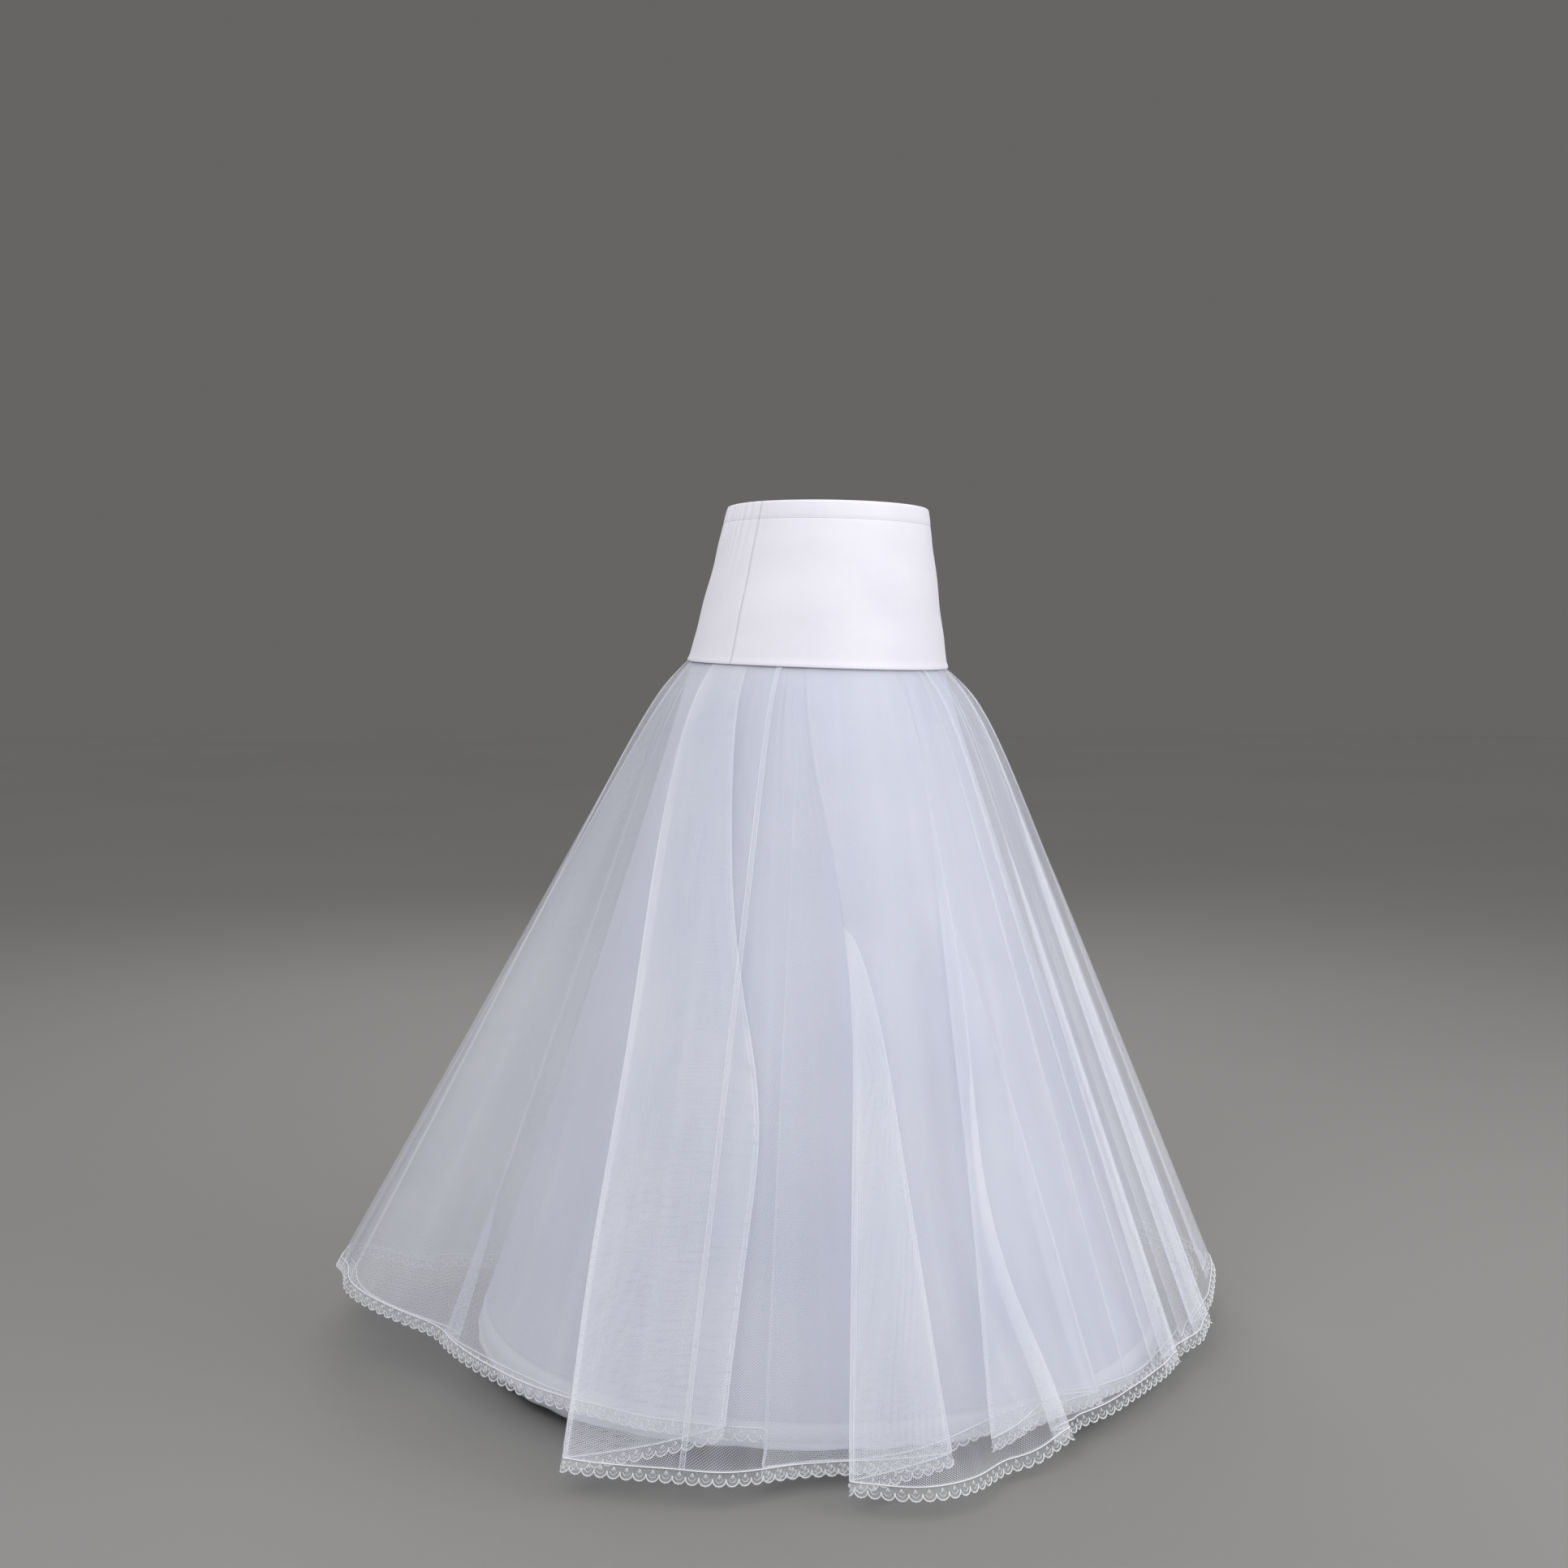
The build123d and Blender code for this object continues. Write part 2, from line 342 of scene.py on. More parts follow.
def buildMottleGroup():
    # broad, faint unevenness of white cloth
    group, start, end = newGroup(
        "softMottle",
        [("Vector", "NodeSocketVector", None), ("Scale", "NodeSocketFloat", 9.0)],
        [("Tone", "NodeSocketFloat")],
    )
    noise = group.nodes.new("ShaderNodeTexNoise")
    noise.inputs["Detail"].default_value = 4.0
    group.links.new(start.outputs["Vector"], noise.inputs["Vector"])
    group.links.new(start.outputs["Scale"], noise.inputs["Scale"])
    group.links.new(rangeNode(group, noise.outputs[0], 0.3, 0.7), end.inputs["Tone"])
    return group


netThreads = buildNetGroup()
clothWeave = buildWeaveGroup()
softMottle = buildMottleGroup()


def newMaterial(name):
    material = bpy.data.materials.new(name)
    material.use_nodes = True
    tree = material.node_tree
    shader = next(node for node in tree.nodes if node.type == "BSDF_PRINCIPLED")
    return material, tree, shader


def placeGroup(tree, group, vector, **values):
    node = tree.nodes.new("ShaderNodeGroup")
    node.node_tree = group
    tree.links.new(vector, node.inputs["Vector"])
    for name, value in values.items():
        node.inputs[name].default_value = value
    return node


def coordinates(tree):
    return tree.nodes.new("ShaderNodeTexCoord")


def clothUv(tree):
    node = tree.nodes.new("ShaderNodeUVMap")
    node.uv_map = "cloth"
    return node.outputs["UV"]


def mixColours(tree, factor, first, second):
    node = tree.nodes.new("ShaderNodeMix")
    node.data_type = "RGBA"
    tree.links.new(factor, node.inputs["Factor"])
    for socket, colour in ((node.inputs[6], first), (node.inputs[7], second)):
        if isinstance(colour, tuple):
            socket.default_value = (*colour, 1)
        else:
            tree.links.new(colour, socket)
    return node.outputs[2]


def addBump(tree, shader, height, strength):
    bump = tree.nodes.new("ShaderNodeBump")
    bump.inputs["Strength"].default_value = strength
    bump.inputs["Distance"].default_value = 1.0
    tree.links.new(height, bump.inputs["Height"])
    tree.links.new(bump.outputs["Normal"], shader.inputs["Normal"])


netFinish = {
    "mottleScale": 11.0,
    "foldCover": 0.75,
    "bump": 0.4,
    "roughness": 0.62,
    "sheen": 0.25,
    "sheenRoughness": 0.4,
}


def netMaterial(name, colour, shade, pitch, hole, threadAlpha, veil, grain=0.0):
    # threads round open holes, with a thin veil of fuzz between them; folds and seams are denser
    material, tree, shader = newMaterial(name)
    mapping = tree.nodes.new("ShaderNodeMapping")  # the way that the net is cut from its roll
    mapping.inputs["Rotation"].default_value = (0, 0, radians(grain))
    tree.links.new(clothUv(tree), mapping.inputs["Vector"])
    net = placeGroup(tree, netThreads, mapping.outputs["Vector"], Pitch=pitch, Hole=hole)
    spot = coordinates(tree).outputs["Object"]
    mottle = placeGroup(tree, softMottle, spot, Scale=netFinish["mottleScale"])
    dense = tree.nodes.new("ShaderNodeAttribute")
    dense.attribute_name = "dense"
    tint = mixColours(tree, mottle.outputs["Tone"], shade, colour)
    tree.links.new(tint, shader.inputs["Base Color"])
    cover = mathNode(tree, "MULTIPLY_ADD", net.outputs["Thread"], threadAlpha, veil)
    cover = mathNode(tree, "MULTIPLY_ADD", dense.outputs["Fac"], netFinish["foldCover"], cover, clamp=True)
    tree.links.new(cover, shader.inputs["Alpha"])
    addBump(tree, shader, net.outputs["Height"], netFinish["bump"])
    shader.inputs["Roughness"].default_value = netFinish["roughness"]
    shader.inputs["Sheen Weight"].default_value = netFinish["sheen"]
    shader.inputs["Sheen Roughness"].default_value = netFinish["sheenRoughness"]
    return material


wovenFinish = {"mottleScale": 7.0, "weaveShare": 0.5, "toneRange": (0.1, 1.2), "roughSpread": 0.08}


def wovenMaterial(name, colour, shade, threads, bump, roughness, sheen, backing=None):
    # thin cloth takes on a share of the colour of what is sewn close behind it
    material, tree, shader = newMaterial(name)
    weave = placeGroup(tree, clothWeave, clothUv(tree), Threads=threads)
    spot = coordinates(tree).outputs["Object"]
    mottle = placeGroup(tree, softMottle, spot, Scale=wovenFinish["mottleScale"])
    weaveTone = weave.outputs["Tone"]
    tone = mathNode(tree, "MULTIPLY_ADD", weaveTone, wovenFinish["weaveShare"], mottle.outputs["Tone"])
    tint = mixColours(tree, rangeNode(tree, tone, *wovenFinish["toneRange"]), shade, colour)
    if backing:
        backed = tree.nodes.new("ShaderNodeAttribute")
        backed.attribute_name = "backed"
        share = mathNode(tree, "MULTIPLY", backed.outputs["Fac"], backing[0])
        tint = mixColours(tree, share, tint, backing[1])
    tree.links.new(tint, shader.inputs["Base Color"])
    spread = wovenFinish["roughSpread"]
    rough = rangeNode(tree, weaveTone, 0.2, 0.8, roughness - spread, roughness + spread)
    tree.links.new(rough, shader.inputs["Roughness"])
    addBump(tree, shader, weave.outputs["Height"], bump)
    shader.inputs["Sheen Weight"].default_value = sheen
    return material


threadFinish = {"twistScale": 900.0, "twistUneven": 2.0, "roughness": (0.62, 0.48)}


def threadMaterial(name, colour, shade):
    material, tree, shader = newMaterial(name)
    twist = tree.nodes.new("ShaderNodeTexWave")
    twist.bands_direction = "DIAGONAL"
    twist.inputs["Scale"].default_value = threadFinish["twistScale"]
    twist.inputs["Distortion"].default_value = threadFinish["twistUneven"]
    tree.links.new(coordinates(tree).outputs["Object"], twist.inputs["Vector"])
    tree.links.new(mixColours(tree, twist.outputs["Fac"], shade, colour), shader.inputs["Base Color"])
    rough = rangeNode(tree, twist.outputs["Fac"], 0.0, 1.0, *threadFinish["roughness"])
    tree.links.new(rough, shader.inputs["Roughness"])
    return material


steelFinish = {"brushScale": 40.0, "brushStretch": (1, 1, 60), "roughness": (0.26, 0.44)}


def steelMaterial(name, colour, shade):
    material, tree, shader = newMaterial(name)
    brushed = tree.nodes.new("ShaderNodeTexNoise")
    brushed.inputs["Scale"].default_value = steelFinish["brushScale"]
    mapping = tree.nodes.new("ShaderNodeMapping")
    mapping.inputs["Scale"].default_value = steelFinish["brushStretch"]
    tree.links.new(coordinates(tree).outputs["Object"], mapping.inputs["Vector"])
    tree.links.new(mapping.outputs[0], brushed.inputs["Vector"])
    tree.links.new(mixColours(tree, brushed.outputs[0], shade, colour), shader.inputs["Base Color"])
    rough = rangeNode(tree, brushed.outputs[0], 0.2, 0.8, *steelFinish["roughness"])
    tree.links.new(rough, shader.inputs["Roughness"])
    shader.inputs["Metallic"].default_value = 1.0
    return material


wovenLooks = {
    "stretchKnit": {"colour": (0.875, 0.86, 0.945), "shade": (0.825, 0.81, 0.905), "threads": 7200.0,
                    "bump": 0.25, "roughness": 0.62, "sheen": 0.2},
    # painted shade: the lining is white, and this grey-lavender stands for the shade it lies in under the nets,
    # with no light coming through it from inside
    "liningCloth": {"colour": (0.625, 0.635, 0.75), "shade": (0.57, 0.58, 0.695), "threads": 5200.0,
                    "bump": 0.35, "roughness": 0.66, "sheen": 0.15, "backing": (0.4, (0.86, 0.87, 0.92))},
    "channelTape": {"colour": (0.82, 0.83, 0.87), "shade": (0.72, 0.73, 0.78), "threads": 3600.0,
                    "bump": 0.6, "roughness": 0.7, "sheen": 0.1},
    "elastic": {"colour": (0.80, 0.80, 0.82), "shade": (0.66, 0.66, 0.70), "threads": 3000.0,
                "bump": 0.8, "roughness": 0.72, "sheen": 0.1},
}
netLooks = {
    "outerNet": {"colour": (0.90, 0.915, 0.995), "shade": (0.85, 0.87, 0.975), "pitch": 0.0018, "hole": -0.68,
                 "threadAlpha": 0.80, "veil": 0.015},
    "innerNet": {"colour": (0.88, 0.895, 0.99), "shade": (0.83, 0.85, 0.965), "pitch": 0.0018, "hole": -0.68,
                 "threadAlpha": 0.74, "veil": 0.015, "grain": 30},
    "laceGround": {"colour": (0.89, 0.90, 0.94), "shade": (0.83, 0.84, 0.89), "pitch": 0.0011, "hole": -0.55,
                   "threadAlpha": 0.5, "veil": 0.05},
}
threadLooks = {
    "laceCord": {"colour": (0.92, 0.925, 0.97), "shade": (0.86, 0.87, 0.92)},
    "sewingThread": {"colour": (0.85, 0.85, 0.90), "shade": (0.72, 0.72, 0.79)},
}
steelLooks = {
    "springSteel": {"colour": (0.58, 0.58, 0.60), "shade": (0.42, 0.42, 0.44)},
    "sleeveSteel": {"colour": (0.64, 0.63, 0.60), "shade": (0.50, 0.49, 0.46)},
}
finishes = {}
for makeFinish, looks in ((wovenMaterial, wovenLooks), (netMaterial, netLooks),
                          (threadMaterial, threadLooks), (steelMaterial, steelLooks)):
    for finishName, look in looks.items():
        finishes[finishName] = makeFinish(finishName, **look)
print("materials ready:", len(finishes))


# One stitch, modelled once and set along every sewn line
stitch = {"half": (0.0011, 0.00034, 0.00026), "segments": 6, "rings": 4}


def modelStitch():
    deselectAll()
    bpy.ops.mesh.primitive_uv_sphere_add(segments=stitch["segments"], ring_count=stitch["rings"], radius=1)
    bead = bpy.context.object
    bpy.ops.object.mode_set(mode="EDIT")
    bpy.ops.mesh.select_all(action="SELECT")
    bpy.ops.transform.rotate(value=pi / 2, orient_axis="Y", center_override=(0, 0, 0))
    bpy.ops.transform.resize(value=stitch["half"], center_override=(0, 0, 0))
    bpy.ops.object.mode_set(mode="OBJECT")
    points = np.array([vertex.co[:] for vertex in bead.data.vertices])
    faces = [list(face.vertices) for face in bead.data.polygons]
    bpy.data.objects.remove(bead, do_unlink=True)
    return points, faces


stitchPoints, stitchFaces = modelStitch()


def stitchLine(line, outward, pitch):
    # stitches end to end along an open line of points, each turned to lie along it
    lengths = lengthsAlong(line, 0)
    count = int(lengths[-1] / pitch)
    spots = (np.arange(count) + 0.5) * lengths[-1] / count
    middle, ahead = alongRow(line, lengths, spots), alongRow(line, lengths, spots + pitch / 4)
    along = unit(ahead - middle)
    side = unit(np.cross(alongRow(outward, lengths, spots), along))
    turned = np.stack([along, side, np.cross(along, side)], axis=1)
    points = middle[:, None] + np.einsum("pk,nkc->npc", stitchPoints, turned)
    return joinMeshes([(bead, stitchFaces) for bead in points])


# Yoke: two knit panels, turned in over the elastic at the top and gathered by it at the back
yoke = {
    "columns": 170,
    "cloth": 0.0009,
    "casing": 0.017,
    "turnRadius": 0.00195,
    "puff": 0.0003,
    "groove": (0.0004, 0.0011),  # depth and width along the casing's stitching
    "waistReach": 0.12,
    "seamReach": 0.135,
    "hipReach": 0.137,
    "gatherPitch": 0.0085,
    "gatherDepth": 0.0017,
    "gatherFade": 0.030,
    "sideSeam": (0.0003, 0.0011),  # depth and width
    "allowance": (0.0003, 0.003, 0.0015),  # height, place and width of the seam's edges under the knit
    "pull": 0.0005,
    "pullTop": (0.02, 0.02),  # depth from which the pulls start, and the depth in which they grow
    "pullEnd": (0.15, 0.03),
    "lip": (0.0008, 0.002, 0.003),  # height, place and width of the lower edge's swell
    "lipPitch": 0.0065,
    "stitchLift": 0.0004,
    "stitchPitch": 0.0032,
    "flat": (0.44, 0.18),
    "area": 0.068,
}


def yokeRadius(angle, share):
    hip, waist = ovalRadius(cut["hip"], angle), ovalRadius(cut["waist"], angle)
    return hip + (waist - hip) * share


def yokePoint(angle, inset, depth):
    share = 1 - depth / cut["yokeHeight"]
    height, shift = seamHeight(angle) * (1 - share), cut["backShift"] * (1 - share)
    return place(angle, yokeRadius(angle, share) - inset, height, shift)


def yokeLift(angle, depth, back):
    # how far the outer face of the cloth stands out from its plain shape
    casing = yoke["casing"]
    dip, width = yoke["groove"]
    lift = yoke["puff"] * np.sin(pi * np.clip(depth / casing, 0, 1)) - dip * bell(depth - casing, width)
    if back:
        hold = np.sin(np.radians(angle)) ** 0.35
        around = np.radians(angle) * yoke["waistReach"]
        ruffle = np.sin(2 * pi * around / yoke["gatherPitch"] + 1.3 * np.sin(angle * 0.31))
        fade = np.where(depth < casing, 1.0, np.exp(-(depth - casing) / yoke["gatherFade"]))
        lift = lift + yoke["gatherDepth"] * hold * ruffle * fade
    seamAway = np.minimum(angle % 180, 180 - angle % 180) * radians(1) * yoke["seamReach"]
    dip, width = yoke["sideSeam"]
    height, spot, spread = yoke["allowance"]
    lift = lift - dip * bell(seamAway, width) + height * bell(seamAway - spot, spread)
    # soft pulls across the knit, between the casing and the lower edge
    sweep = np.sin(depth * 95 + 1.7 * np.sin(np.radians(angle * 2) + 0.4))
    pull = sweep * np.sin(np.radians(angle * 3) + depth * 9)
    (first, grow), (last, fade) = yoke["pullTop"], yoke["pullEnd"]
    lift = lift + yoke["pull"] * pull * easeIn((depth - first) / grow) * easeIn((last - depth) / fade)
    height, spot, spread = yoke["lip"]
    bumps = 1 + 0.5 * np.sin(2 * pi * np.radians(angle) * yoke["hipReach"] / yoke["lipPitch"])
    return lift + height * bell(cut["yokeHeight"] - depth - spot, spread) * bumps


def yokePanel(name, start, back):
    angle = np.linspace(start, start + 180, yoke["columns"])
    turn, casing = yoke["turnRadius"], yoke["casing"]
    inside = [(2 * turn - 0.0009, casing), (2 * turn - 0.0004, casing - 0.003)]
    inside += [(2 * turn, depth) for depth in (0.011, 0.008, 0.005, turn)]
    over = [(turn + turn * cos(bend), turn - turn * sin(bend)) for bend in np.linspace(0.4, pi, 8)]
    depths = list(np.linspace(0.0035, casing - 0.0035, 6))
    depths += list(casing + np.array([-0.0022, -0.0011, 0, 0.0011, 0.0022]))
    depths += list(np.linspace(casing + 0.005, cut["yokeHeight"] - 0.012, 26))
    depths += list(cut["yokeHeight"] - np.array([0.009, 0.0065, 0.0045, 0.003, 0.0018, 0.0008, 0]))
    profile = inside + over + [(0.0, depth) for depth in depths]
    outerFace = len(inside) + len(over)
    rows = []
    for index, (inset, depth) in enumerate(profile):
        lift = yokeLift(angle, np.full_like(angle, depth), back) if index >= outerFace - 3 else 0
        rows.append(yokePoint(angle, inset - lift, depth))
    grid = np.stack(rows)
    piece = makePiece(name, grid.reshape(-1, 3), gridFaces(*grid.shape[:2], False), stripUv(grid))
    thicken(piece, yoke["cloth"])
    stitchRow = outerFace + depths.index(casing)
    outward = place(angle, 1.0, 0.0, 0.0)
    return piece, grid[stitchRow] + outward * yoke["stitchLift"], outward


yokePieces, yokeStitches = [], []
yokeCut = (("yokeFront", "yoke_front", 180, False), ("yokeBack", "yoke_back", 0, True))
for panelName, node, start, back in yokeCut:
    panel, line, outward = yokePanel(panelName, start, back)
    sewOn(panel, finishes["stretchKnit"], "stretch_knit", node)
    yokePieces.append(panel)
    yokeStitches.append(stitchLine(line, outward, yoke["stitchPitch"]))
casingStitches = makePiece("casingStitches", *joinMeshes(yokeStitches))
sewOn(casingStitches, finishes["sewingThread"], "stretch_knit")
print("yoke sewn")


# Waist elastic in its casing: a ribbed band, drawn up from an oval
elastic = {
    "inset": 0.0021,
    "top": -0.0016,
    "width": 0.0099,
    "ribs": 5,
    "rib": 0.0003,
    "thickness": 0.0007,
    "vertices": 144,
}


def modelElastic():
    deselectAll()
    bpy.ops.mesh.primitive_circle_add(
        vertices=elastic["vertices"], radius=1, fill_type="NOTHING", location=(0, 0, 0))
    band = bpy.context.object
    band.name = band.data.name = "waistElastic"
    half = [size - elastic["inset"] for size in cut["waist"]]
    bpy.ops.object.mode_set(mode="EDIT")
    bpy.ops.mesh.select_all(action="SELECT")
    bpy.ops.transform.resize(value=(half[0], half[1], 1), center_override=(0, 0, 0))
    bpy.ops.transform.translate(value=(0, 0, elastic["top"]))
    step = elastic["width"] / (2 * elastic["ribs"])
    for index in range(2 * elastic["ribs"]):
        swell = 1 + (elastic["rib"] / half[0]) * (1 if index % 2 == 0 else -1)
        bpy.ops.mesh.extrude_region_move(TRANSFORM_OT_translate={"value": (0, 0, -step)})
        bpy.ops.transform.resize(value=(swell, swell, 1), center_override=(0, 0, 0))
    bpy.ops.mesh.select_all(action="SELECT")
    bpy.ops.mesh.normals_make_consistent(inside=False)
    bpy.ops.object.mode_set(mode="OBJECT")
    layer = band.data.uv_layers.new(name="cloth")
    for loop in band.data.loops:
        spot = band.data.vertices[loop.vertex_index].co
        layer.data[loop.index].uv = (spot.x + spot.y, spot.z)
    bpy.ops.object.shade_smooth()
    thicken(band, elastic["thickness"])
    return band


waistElastic = modelElastic()
sewOn(waistElastic, finishes["elastic"], "elastic", "waist_elastic")
print("elastic threaded")


# Skirt edges tucked behind the yoke

def tuckedEdge(angle, inset, lift):
    # a point behind the yoke's lower edge, lifted by a share of the lap
    share = lift * cut["seamLap"] / cut["yokeHeight"]
    radius = yokeRadius(angle, share) - inset - cut["backShift"] * share
    return place(angle, radius, seamHeight(angle) + lift * cut["seamLap"])


# Lining: six gores, straight from the hip to the hoop
lining = {
    "columns": 540,
    "cloth": 0.0005,
    "gores": 6,
    "rows": 38,
    "sag": 0.004,
    "flute": 0.0028,
    "fluteCounts": [11, 17, 23],
    "fluteSeed": 5,
    "seamRidge": (0.0009, 0.0022),  # height and width
    "channel": (0.007, 0.023),
    "channelPuff": 0.0012,
    "stitchDip": 0.0005,
    "dipWidth": 0.0012,
    "serged": 0.007,
    "sergedWave": 0.0011,
    "edgeCounts": [19, 31, 43],
    "edgeSeed": 8,
    "droop": (166, 20, 0.007),  # the loose edge hangs lower at the wearer's right
    "curl": (222, 30, 0.004),  # and curls up at the front
    "stitchPitch": 0.0034,
    "stitchLift": 0.0003,
    "overlockPitch": 0.0018,
    "overlockLift": 0.0004,
    "thread": 0.00026,
    "flat": (2.30, 0.74),
    "area": 1.17,
}


def bandPoint(angle, inset, height):
    radius = cut["hemRadius"] - inset - cut["bandSlope"] * height
    return place(angle, radius, cut["liningHem"] + height)


def liningGrid():
    angle = np.arange(lining["columns"]) * fullTurn / lining["columns"]
    round01 = angle / fullTurn
    gore = fullTurn / lining["gores"]
    seamAway = (angle + gore / 2) % gore - gore / 2
    out = place(angle, 1.0, 0.0, 0.0)
    rows = [tuckedEdge(angle, cut["liningInset"], lift) for lift in (1.0, 0.5)]
    top = place(angle, ovalRadius(cut["hip"], angle) - cut["liningInset"], seamHeight(angle))
    bottom = bandPoint(angle, 0.0, cut["bandHeight"])
    flutes = waves(round01, lining["fluteCounts"], lining["fluteSeed"])
    ridgeHeight, ridgeWidth = lining["seamRidge"]
    for share in np.linspace(0, 1, lining["rows"])[:-1]:
        spot = top + (bottom - top) * share
        slack = sin(pi * share) ** 0.8
        ridge = ridgeHeight * bell(seamAway * radians(1) * np.linalg.norm(spot[:, :2], axis=1), ridgeWidth)
        lift = slack * (lining["flute"] * flutes - lining["sag"]) + ridge * easeIn(share / 0.05)
        rows.append(spot + out * lift[:, None])
    low, high = lining["channel"]
    heights = [cut["bandHeight"], 0.028, 0.0248, high, 0.0212, 0.0175, 0.015, 0.0125, 0.0088, low]
    heights += [0.0052, 0.0030, 0.0012, 0.0]
    edgeWave = waves(round01, lining["edgeCounts"], lining["edgeSeed"])
    ridge = ridgeHeight * bell(seamAway * radians(1) * cut["hemRadius"], ridgeWidth)
    for height in heights:
        bulge = lining["channelPuff"] * np.sin(pi * np.clip((height - low) / (high - low), 0, 1))
        dip = lining["stitchDip"] * sum(bell(height - sewn, lining["dipWidth"]) for sewn in (low, high))
        loose = np.clip(1 - height / lining["serged"], 0, 1)
        lift = bulge - dip + ridge + lining["sergedWave"] * loose * edgeWave
        spot = bandPoint(angle, 0.0, height) + out * lift[:, None]
        edge = lining["sergedWave"] * np.roll(edgeWave, 5)
        for (side, width, size), way in ((lining["droop"], -1), (lining["curl"], 1)):
            edge = edge + way * size * bell(apart(angle, side), width)
        spot[:, 2] += loose * edge
        rows.append(spot)
    backed = np.zeros(len(rows))  # rows with the hoop's tape behind them
    backed[-len(heights):] = [low <= height <= high for height in heights]
    return angle, np.stack(rows), heights, np.repeat(backed, len(angle))


liningAngle, liningRows, bandHeights, tapeBehind = liningGrid()
goreColumns = [lining["columns"] // lining["gores"] * index for index in range(lining["gores"])]
skirtLining = ringPiece("skirtLining", liningRows, goreColumns, {"backed": tapeBehind})
thicken(skirtLining, lining["cloth"])
goreNames = ["left_back", "back", "right_back", "right_front", "front", "left_front"]
sewOn(skirtLining, finishes["liningCloth"], "lining_cloth", *["lining_" + name for name in goreNames])


def sewLiningThreads():
    out = place(liningAngle, 1.0, 0.0, 0.0)
    firstBand = liningRows.shape[0] - len(bandHeights)
    meshes = []
    for height in lining["channel"]:
        line = liningRows[firstBand + bandHeights.index(height)] + out * lining["stitchLift"]
        meshes.append(stitchLine(closeRow(line), closeRow(out), lining["stitchPitch"]))
    stitches = makePiece("channelStitches", *joinMeshes(meshes))
    # overlock: a thread that climbs and falls over the raw hem
    edge, top = (closeRow(liningRows[row] + out * lining["overlockLift"]) for row in (-1, -4))
    lengths = lengthsAlong(edge, 0)
    count = int(lengths[-1] / lining["overlockPitch"])
    start = np.arange(count) * lengths[-1] / count
    turns = ((edge, 0.0), (top, 0.45), (top, 0.60), (edge, 0.95))  # shares of the way to the next loop
    paths = [alongRow(row, lengths, start + lengths[-1] / count * share) for row, share in turns]
    overlock = makePiece("hemOverlock", *threadTubes(np.stack(paths, axis=1), lining["thread"]))
    return stitches, overlock


channelStitches, hemOverlock = sewLiningThreads()
sewOn(channelStitches, finishes["sewingThread"], "lining_cloth")
sewOn(hemOverlock, finishes["sewingThread"], "lining_cloth")
print("lining hung")


# Hoop channel: a tape inside the hem band, bowed in over the hoop
tape = {
    "columns": 432,
    "rows": 11,
    "cloth": 0.0005,
    "inset": 0.0012,
    "bow": 0.0031,
    "low": 0.0074,
    "high": 0.0226,
    "ripple": 0.00025,
    "rippleCount": 140,
    "flat": (2.24, 0.0175),
}


def tapeGrid():
    angle = np.arange(tape["columns"]) * fullTurn / tape["columns"]
    rows = []
    for share in np.linspace(0, 1, tape["rows"]):
        height = tape["high"] + (tape["low"] - tape["high"]) * share
        bow = tape["bow"] * easeIn(min(share, 1 - share) / 0.2)
        ripple = tape["ripple"] * np.sin(2 * pi * tape["rippleCount"] * angle / fullTurn) * sin(pi * share)
        rows.append(bandPoint(angle, tape["inset"] + bow + ripple, height))
    return np.stack(rows)


hoopChannel = ringPiece("hoopChannel", tapeGrid(), [0])
thicken(hoopChannel, -tape["cloth"])
sewOn(hoopChannel, finishes["channelTape"], "channel_tape", "hoop_channel")
print("hoop channel sewn")


# Net skirts. Each fold laps three plies of net. It is given by the angle of its edge, how far the plies lap
# at the hem, the share of the way down from which they lap, which way it turns (1 where the ply that leaves
# lies outermost) and, where the cloth steps out at the edge, the angle of the valley that the ply under it
# keeps to.
outerNet = {
    "name": "outerNet",
    "inset": 0.00155,
    "gap": 0.0,
    "nearer": (128, 30, 0.0),
    "shorter": (248, 16, 0.0),
    "ply": 0.0042,
    "column": 0.0042,
    "gather": 0.0030,
    "ripple": 0.0026,
    "streak": 0.12,
    "seed": 21,
    "seams": [20.3, 80.3, 140.3, 200.3, 272, 326],
    "folds": [
        (26.5, 12, 0.33, 1, 24), (64.5, 11, 0.35, 1, 62), (93, 7, 0.40, -1, None),
        (186, 16.5, 0.0, 1, 183.5), (217.5, 14, 0.35, 1, 215), (250, 2.5, 0.55, -1, None),
        (281, 4, 0.25, -1, None), (296, 5, 0.22, -1, None), (314, 5, 0.30, -1, None),
        (348.5, 11, 0.35, 1, 346),
    ],
    "sway": {
        186: [-16, -13, -10, -5, -3, -1.8, 1.25],
        217.5: [-8, -3.5, 1.75, 4.25, 3, 2.2, 1],
        250: [0, -1, -1.2, -2.5, -6.5, -7.5, 0.5],
    },
    "laps": {186: [17, 18.5, 17.5, 19, 23.5, 21, 16.5]},
    "flat": (4.0, 0.75),
    "area": 1.80,
}
innerNet = {
    "name": "innerNet",
    "inset": 0.0029,
    "gap": 0.018,
    "nearer": (128, 30, 0.009),  # it hangs close behind the outer net at the wearer's right back
    "shorter": (248, 16, 0.034),  # and is caught up a little at the front
    "ply": 0.0034,
    "column": 0.0046,
    "gather": -0.0030,
    "ripple": 0.0016,
    "streak": 0.12,
    "seed": 34,
    "seams": [3.5, 63.5, 123.5, 183.5, 268, 303.5],
    "folds": [
        (1, 8, 0.35, 1, -14), (40, 8, 0.35, 1, 24), (77, 8, 0.35, 1, 62),
        (128, 4, 0.50, -1, None), (156, 2, 0.82, 1, None), (208.5, 0.4, 0.40, 1, 183.5),
        (239, 22, 0.33, 1, 215), (288, 4, 0.30, 1, None), (306, 4, 0.30, -1, None),
        (330, 7, 0.40, 1, None),
    ],
    "sway": {239: [16.5, 12.5, 9.4, 5.2, 3.3, 1.7, -1.1]},
    "laps": {},
    "flat": (3.7, 0.74),
    "area": 1.50,
}
